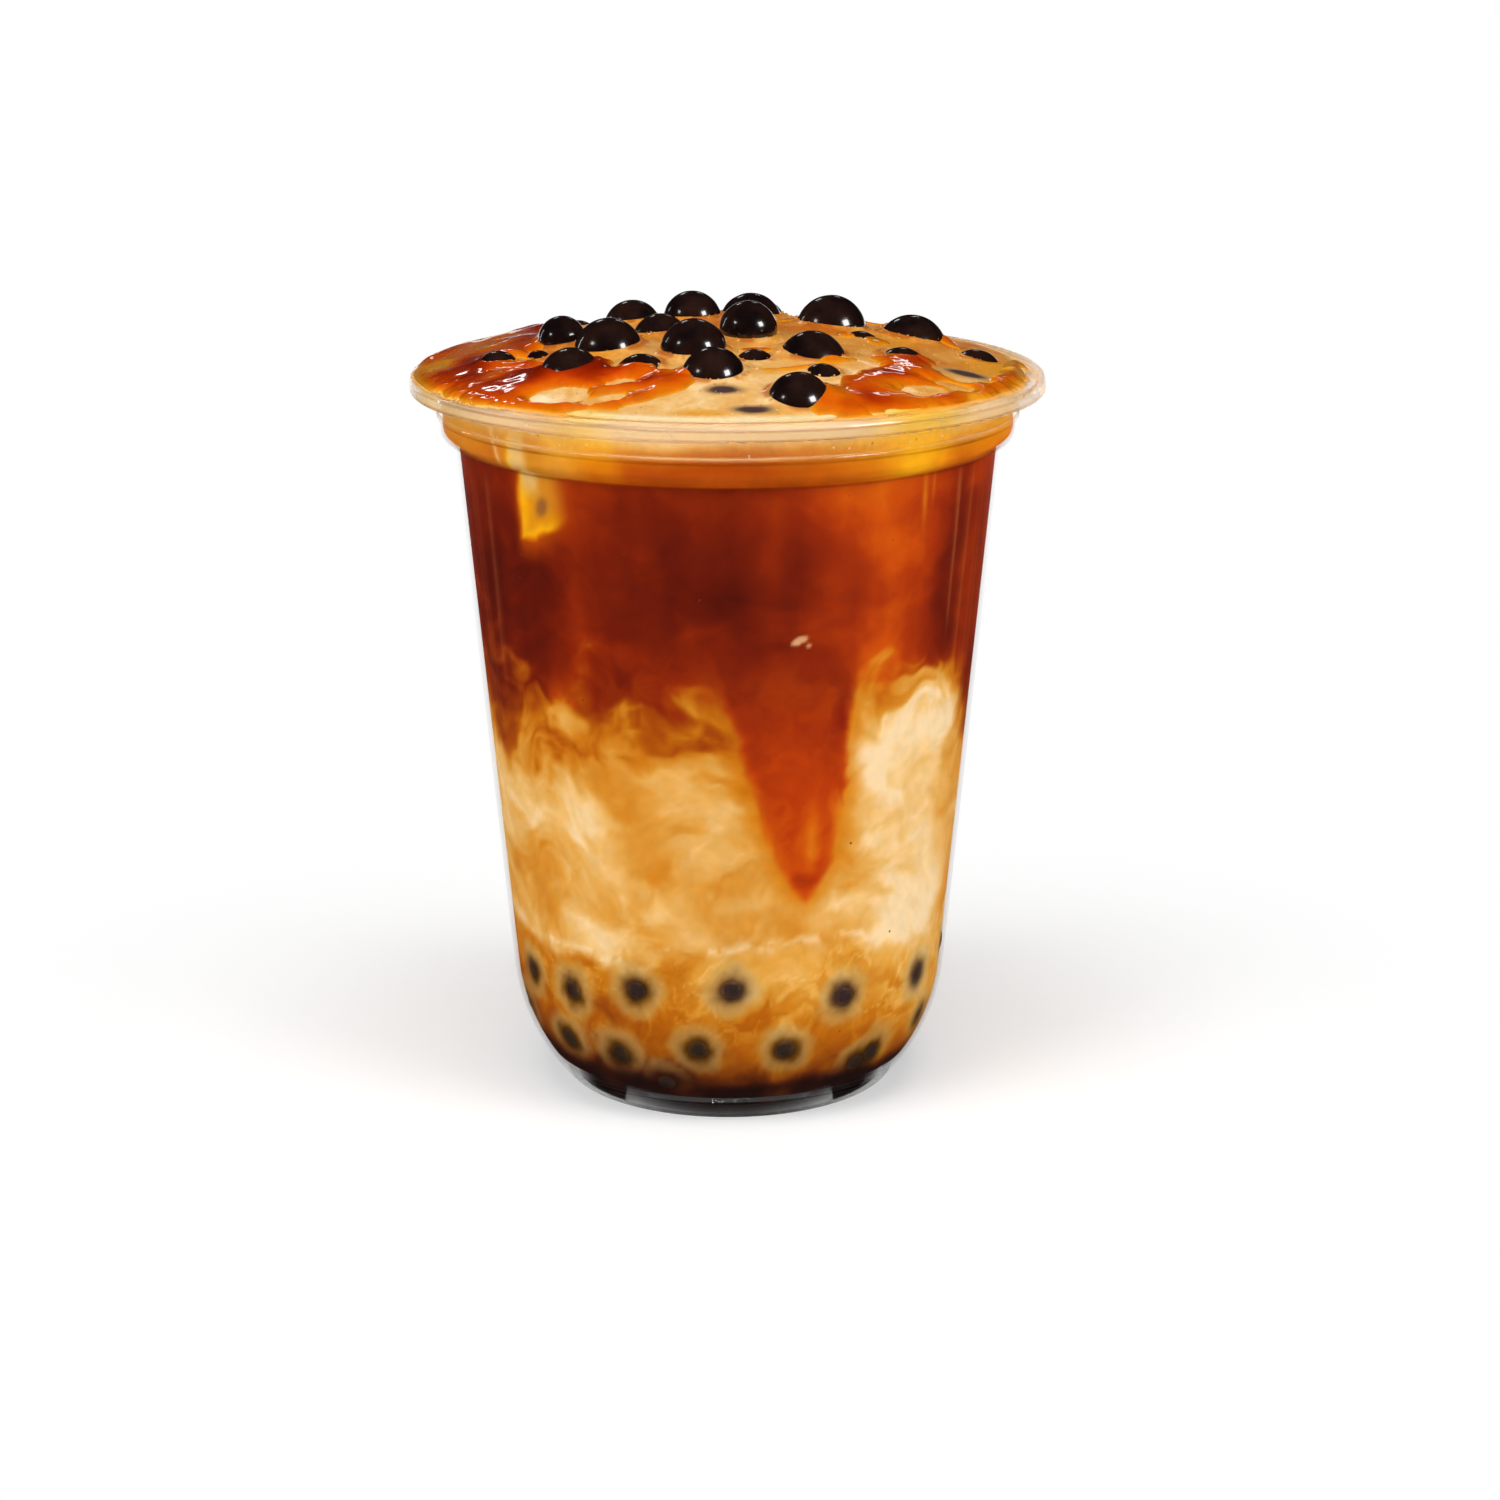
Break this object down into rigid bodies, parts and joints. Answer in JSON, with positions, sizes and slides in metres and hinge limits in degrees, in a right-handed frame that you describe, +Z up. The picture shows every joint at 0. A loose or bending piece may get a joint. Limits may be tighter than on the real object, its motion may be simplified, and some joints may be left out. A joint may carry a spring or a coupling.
{
  "type": "caramel mocha",
  "caption": "Iced caramel mocha in a clear plastic cup with a rolled rim, layered milk and coffee, a domed foam top under caramel sauce, and tapioca pearls.",
  "frame": {"origin": "on the table under the middle of the cup's foot ring, at the bottom centre of the whole", "axes": "+Z up along the cup's axis, -Y towards the front, +X to the right seen from the front"},
  "size_m": [0.098, 0.098, 0.1249],
  "materials": {
    "clear_cup": "clear glossy plastic, moulded, 0.9 mm thick",
    "milk": "sweetened milk marbled with caramel, seen through the cup",
    "coffee": "dark coffee and caramel with lighter streaks",
    "foam": "tan milk foam with fine bubbles",
    "pearl": "near-black brown tapioca, wet and glossy",
    "caramel": "thin glossy caramel sauce"
  },
  "bodies": {
    "root": {"cup": "clear_cup", "milk_layer": "milk", "coffee_layer": "coffee", "foam_top": "foam", "pearl_01": "pearl", "pearl_02": "pearl", "pearl_03": "pearl", "pearl_04": "pearl", "pearl_05": "pearl", "pearl_06": "pearl", "pearl_07": "pearl", "pearl_08": "pearl", "pearl_09": "pearl", "pearl_10": "pearl", "pearl_11": "pearl", "pearl_12": "pearl", "pearl_13": "pearl", "pearl_14": "pearl", "pearl_15": "pearl", "pearl_16": "pearl", "pearl_17": "pearl", "pearl_18": "pearl", "pearl_19": "pearl", "pearl_20": "pearl", "pearl_21": "pearl", "pearl_22": "pearl", "pearl_23": "pearl", "pearl_24": "pearl", "pearl_25": "pearl", "pearl_26": "pearl", "pearl_27": "pearl", "pearl_28": "pearl", "pearl_29": "pearl", "pearl_30": "pearl"}
  },
  "joints": []
}
